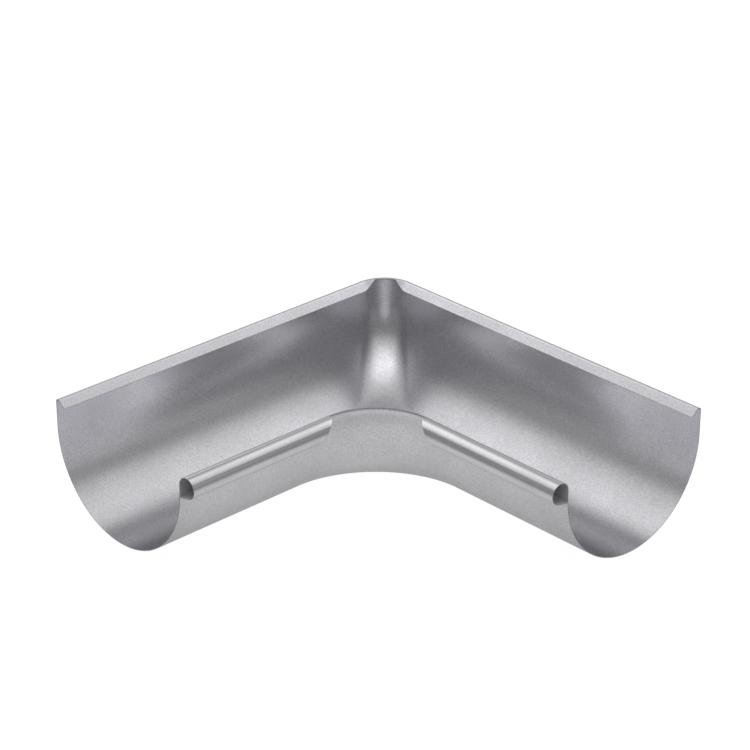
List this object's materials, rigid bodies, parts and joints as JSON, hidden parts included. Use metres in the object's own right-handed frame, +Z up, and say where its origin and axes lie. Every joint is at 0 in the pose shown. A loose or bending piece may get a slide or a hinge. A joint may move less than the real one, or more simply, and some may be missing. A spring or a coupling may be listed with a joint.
{
  "type": "internal gutter corner",
  "caption": "Internal corner for a half-round roof gutter: turns the trough through a right angle, with a lipped back wall and rolled front beads.",
  "frame": {"origin": "middle of the bounding box, on the underside plane that the troughs rest on", "axes": "+Z up, out of the open trough; one leg runs to +X and ends there, the other runs to -Y and ends there; the tall back walls face +Y and -X, the rolled beads are on the inside of the angle"},
  "size_m": [0.295, 0.295, 0.0827],
  "materials": {
    "coated_sheet": "satin hot-dip metallic coating on steel sheet, with a very fine grain"
  },
  "bodies": {
    "root": {"gutter_corner": "coated_sheet"}
  },
  "joints": []
}
